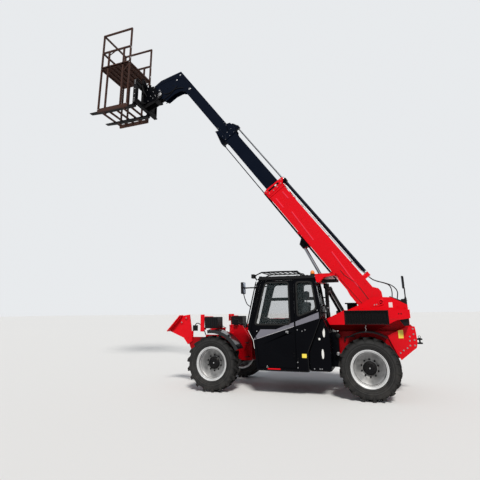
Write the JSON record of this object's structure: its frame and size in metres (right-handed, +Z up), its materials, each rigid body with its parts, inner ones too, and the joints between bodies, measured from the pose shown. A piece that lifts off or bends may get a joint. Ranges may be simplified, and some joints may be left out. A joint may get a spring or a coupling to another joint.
{
  "type": "telehandler",
  "caption": "Four-wheel telescopic handler with a side cab, a raised three-section boom and an open work platform on pallet forks.",
  "frame": {"origin": "bottom centre of the whole machine's box, on the ground", "axes": "+X forward, +Y to the machine's left, +Z up"},
  "size_m": [8.33, 2.17, 9.93],
  "materials": {
    "red_paint": "gloss",
    "black_paint": "satin",
    "brown_paint": "matte",
    "grey_paint": "satin",
    "black_plastic": "matte",
    "cast_iron": "rough",
    "chrome": "polished",
    "clear_glass": "clear",
    "hose": "matte",
    "lamp_amber": "gloss",
    "seat_cover": "woven",
    "tyre": "matte"
  },
  "bodies": {
    "chassis": {"chassis_frame": "red_paint", "nose_plate": "red_paint", "rear_pods": "red_paint", "side_grilles": "black_paint", "counterweight": "red_paint", "tow_hitch": "black_paint", "tail_cover": "black_plastic", "tail_lamps": "black_plastic", "engine_bay": "black_paint", "engine_block": "cast_iron", "fuel_tank": "black_paint", "cab_frame": "black_paint", "cab_glass": "clear_glass", "cab_roof": "black_plastic", "roof_visor": "red_paint", "roof_guard": "black_paint", "screen_guard": "black_paint", "seat": "seat_cover", "dash_and_wheel": "black_plastic", "beacon": "lamp_amber", "cab_mirror": "black_plastic", "tail_mirror": "black_plastic", "headlamps": "black_plastic", "front_axle": "black_paint", "rear_axle": "black_paint", "front_fenders": "black_plastic", "rear_fenders": "black_plastic"},
    "door": {"cab_door": "black_paint", "door_glass": "clear_glass"},
    "hood": {"engine_hood": "red_paint"},
    "boom_outer": {"boom_outer": "red_paint", "extension_barrel": "black_paint", "boom_hose_left": "hose", "boom_hose_right": "hose"},
    "boom_middle": {"boom_middle": "black_paint", "extension_rod": "chrome"},
    "boom_inner": {"boom_inner": "black_paint"},
    "carriage": {"carriage": "black_paint", "forks": "black_paint", "work_platform": "brown_paint"},
    "lift_barrel": {"lift_barrel": "black_paint"},
    "lift_rod": {"lift_rod": "chrome"},
    "tilt_barrel": {"tilt_barrel": "black_paint"},
    "tilt_rod": {"tilt_rod": "chrome"},
    "knuckle_front_left": {"knuckle_front_left": "black_paint"},
    "wheel_front_left": {"tyre_front_left": "tyre", "rim_front_left": "grey_paint"},
    "knuckle_front_right": {"knuckle_front_right": "black_paint"},
    "wheel_front_right": {"tyre_front_right": "tyre", "rim_front_right": "grey_paint"},
    "knuckle_rear_left": {"knuckle_rear_left": "black_paint"},
    "wheel_rear_left": {"tyre_rear_left": "tyre", "rim_rear_left": "grey_paint"},
    "knuckle_rear_right": {"knuckle_rear_right": "black_paint"},
    "wheel_rear_right": {"tyre_rear_right": "tyre", "rim_rear_right": "grey_paint"}
  },
  "joints": [
    {"name": "boom_lift", "type": "hinge", "parent": "chassis", "child": "boom_outer", "pos_m": [-3.475, 0, 1.705], "axis": [0, -1, 0], "range_deg": [-57, 11.2]},
    {"name": "boom_extend", "type": "slide", "parent": "boom_outer", "child": "boom_middle", "axis": [0.5906, 0, 0.807], "range_m": [-1.75, 0]},
    {"name": "inner_extend", "type": "slide", "parent": "boom_middle", "child": "boom_inner", "axis": [0.5906, 0, 0.807], "range_m": [-1.75, 0]},
    {"name": "carriage_tilt", "type": "hinge", "parent": "boom_inner", "child": "carriage", "pos_m": [2.00558, 0, 7.69989], "axis": [0, -1, 0], "range_deg": [-30, 65]},
    {"name": "lift_barrel_swing", "type": "hinge", "parent": "chassis", "child": "lift_barrel", "pos_m": [-3.055, 0, 0.76], "axis": [0, -1, 0], "range_deg": [-48, 9.8]},
    {"name": "lift_rod_slide", "type": "slide", "parent": "lift_barrel", "child": "lift_rod", "axis": [0.4473, 0, 0.8944], "range_m": [-1.05, 0.22]},
    {"name": "tilt_barrel_swing", "type": "hinge", "parent": "boom_inner", "child": "tilt_barrel", "pos_m": [1.05299, 0, 7.68515], "axis": [0, -1, 0], "range_deg": [-2, 4]},
    {"name": "tilt_rod_slide", "type": "slide", "parent": "tilt_barrel", "child": "tilt_rod", "axis": [0.9454, 0, 0.326], "range_m": [-0.345, 0.16]},
    {"name": "door_swing", "type": "hinge", "parent": "chassis", "child": "door", "pos_m": [-1.863, 1.062, 1.3], "axis": [0, 0, 1], "range_deg": [0, 150]},
    {"name": "hood_lift", "type": "hinge", "parent": "chassis", "child": "hood", "pos_m": [-1.675, -0.33, 1.379], "axis": [-1, 0, 0], "range_deg": [0, 75]},
    {"name": "steer_front_left", "type": "hinge", "parent": "chassis", "child": "knuckle_front_left", "pos_m": [-0.117, 0.8, 0.538], "axis": [0, 0, 1], "range_deg": [-30, 30]},
    {"name": "spin_front_left", "type": "hinge", "parent": "knuckle_front_left", "child": "wheel_front_left", "pos_m": [-0.117, 0.915, 0.538], "axis": [0, 1, 0], "continuous": true},
    {"name": "steer_front_right", "type": "hinge", "parent": "chassis", "child": "knuckle_front_right", "pos_m": [-0.117, -0.8, 0.538], "axis": [0, 0, 1], "range_deg": [-30, 30]},
    {"name": "spin_front_right", "type": "hinge", "parent": "knuckle_front_right", "child": "wheel_front_right", "pos_m": [-0.117, -0.915, 0.538], "axis": [0, 1, 0], "continuous": true},
    {"name": "steer_rear_left", "type": "hinge", "parent": "chassis", "child": "knuckle_rear_left", "pos_m": [-3.175, 0.8, 0.538], "axis": [0, 0, 1], "range_deg": [-30, 30]},
    {"name": "spin_rear_left", "type": "hinge", "parent": "knuckle_rear_left", "child": "wheel_rear_left", "pos_m": [-3.175, 0.915, 0.538], "axis": [0, 1, 0], "continuous": true},
    {"name": "steer_rear_right", "type": "hinge", "parent": "chassis", "child": "knuckle_rear_right", "pos_m": [-3.175, -0.8, 0.538], "axis": [0, 0, 1], "range_deg": [-30, 30]},
    {"name": "spin_rear_right", "type": "hinge", "parent": "knuckle_rear_right", "child": "wheel_rear_right", "pos_m": [-3.175, -0.915, 0.538], "axis": [0, 1, 0], "continuous": true}
  ],
  "couplings": [
    {"joint": "inner_extend", "follows": "boom_extend", "ratio": 1},
    {"joint": "lift_barrel_swing", "follows": "boom_lift", "ratio": 0.8215},
    {"joint": "lift_rod_slide", "follows": "boom_lift", "m_per_rad": 1.0365},
    {"joint": "tilt_barrel_swing", "follows": "carriage_tilt", "ratio": 0.0528},
    {"joint": "tilt_rod_slide", "follows": "carriage_tilt", "m_per_rad": -0.3001},
    {"joint": "steer_front_right", "follows": "steer_front_left", "ratio": 1},
    {"joint": "steer_rear_left", "follows": "steer_front_left", "ratio": -1},
    {"joint": "steer_rear_right", "follows": "steer_front_left", "ratio": -1}
  ]
}
